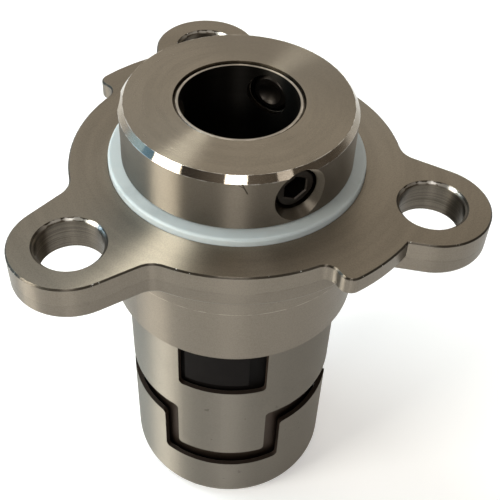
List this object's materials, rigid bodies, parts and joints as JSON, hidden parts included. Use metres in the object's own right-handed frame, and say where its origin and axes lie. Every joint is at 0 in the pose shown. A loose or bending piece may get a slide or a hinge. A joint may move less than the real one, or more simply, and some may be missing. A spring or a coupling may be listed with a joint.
{
  "type": "cartridge mechanical seal",
  "caption": "Cartridge mechanical seal for a pump shaft, with an eared cover flange, drive collar, spring-loaded face and interlocking driver cups.",
  "frame": {"origin": "on the shaft's axis in the plane of the cover flange's mounting face", "axes": "+Z along the shaft, out of the pump towards the drive collar; -Y is the side with the clearest view of a drive slot"},
  "size_m": [0.0847, 0.0837, 0.1001],
  "materials": {
    "turned_cover_steel": "turned and ground stainless steel",
    "turned_collar_steel": "finely turned stainless steel",
    "sleeve_steel": "smooth turned stainless steel",
    "centring_plastic": "white, slightly translucent slippery plastic",
    "seat_ceramic": "lapped dark carbide",
    "face_carbide": "matt dark grey carbide, lapped on its nose",
    "cup_steel": "satin pressed stainless sheet",
    "pot_steel": "dull dark pressed sheet",
    "washer_steel": "plain stainless steel",
    "spring_steel": "drawn spring wire",
    "screw_steel": "dark stainless steel",
    "ring_rubber": "black rubber"
  },
  "bodies": {
    "cover": {"cover_flange": "turned_cover_steel", "centring_ring": "centring_plastic", "stationary_seat": "seat_ceramic", "seat_o_ring": "ring_rubber", "cover_o_ring": "ring_rubber", "seat_pin_1": "washer_steel", "seat_pin_2": "washer_steel"},
    "face": {"rotary_face": "face_carbide", "face_o_ring": "ring_rubber"},
    "upper_driver": {"upper_cup": "cup_steel"},
    "spring_stack": {"spring_washer": "washer_steel", "coil_spring": "spring_steel"},
    "sleeve_unit": {"shaft_sleeve": "sleeve_steel", "drive_collar": "turned_collar_steel", "lower_cup": "cup_steel", "spring_pot": "pot_steel", "retaining_ring": "spring_steel", "shaft_o_ring": "ring_rubber"},
    "set_screw_1": {"set_screw_1": "screw_steel"},
    "set_screw_2": {"set_screw_2": "screw_steel"},
    "set_screw_3": {"set_screw_3": "screw_steel"}
  },
  "joints": [
    {"name": "face_spin", "type": "hinge", "parent": "cover", "child": "face", "pos_m": [0, 0, -0.0135], "axis": [0, 0, 1], "continuous": true},
    {"name": "lug_play", "type": "hinge", "parent": "face", "child": "upper_driver", "pos_m": [0, 0, -0.03], "axis": [0, 0, 1], "range_deg": [-9, 2.5]},
    {"name": "tab_play", "type": "hinge", "parent": "upper_driver", "child": "spring_stack", "pos_m": [0, 0, -0.043], "axis": [0, 0, 1], "range_deg": [-9, 9]},
    {"name": "sleeve_float", "type": "slide", "parent": "spring_stack", "child": "sleeve_unit", "axis": [0, 0, 1], "range_m": [0, 0.0045], "stiffness_N_per_m": 5000, "springref_m": -0.01, "deforming": ["coil_spring"]},
    {"name": "set_screw_1_travel", "type": "slide", "parent": "sleeve_unit", "child": "set_screw_1", "axis": [0.5299, -0.848, 0], "range_m": [-0.0006, 0.003]},
    {"name": "set_screw_2_travel", "type": "slide", "parent": "sleeve_unit", "child": "set_screw_2", "axis": [0.4695, 0.8829, 0], "range_m": [-0.0006, 0.003]},
    {"name": "set_screw_3_travel", "type": "slide", "parent": "sleeve_unit", "child": "set_screw_3", "axis": [-0.9994, -0.0349, 0], "range_m": [-0.0006, 0.003]}
  ]
}
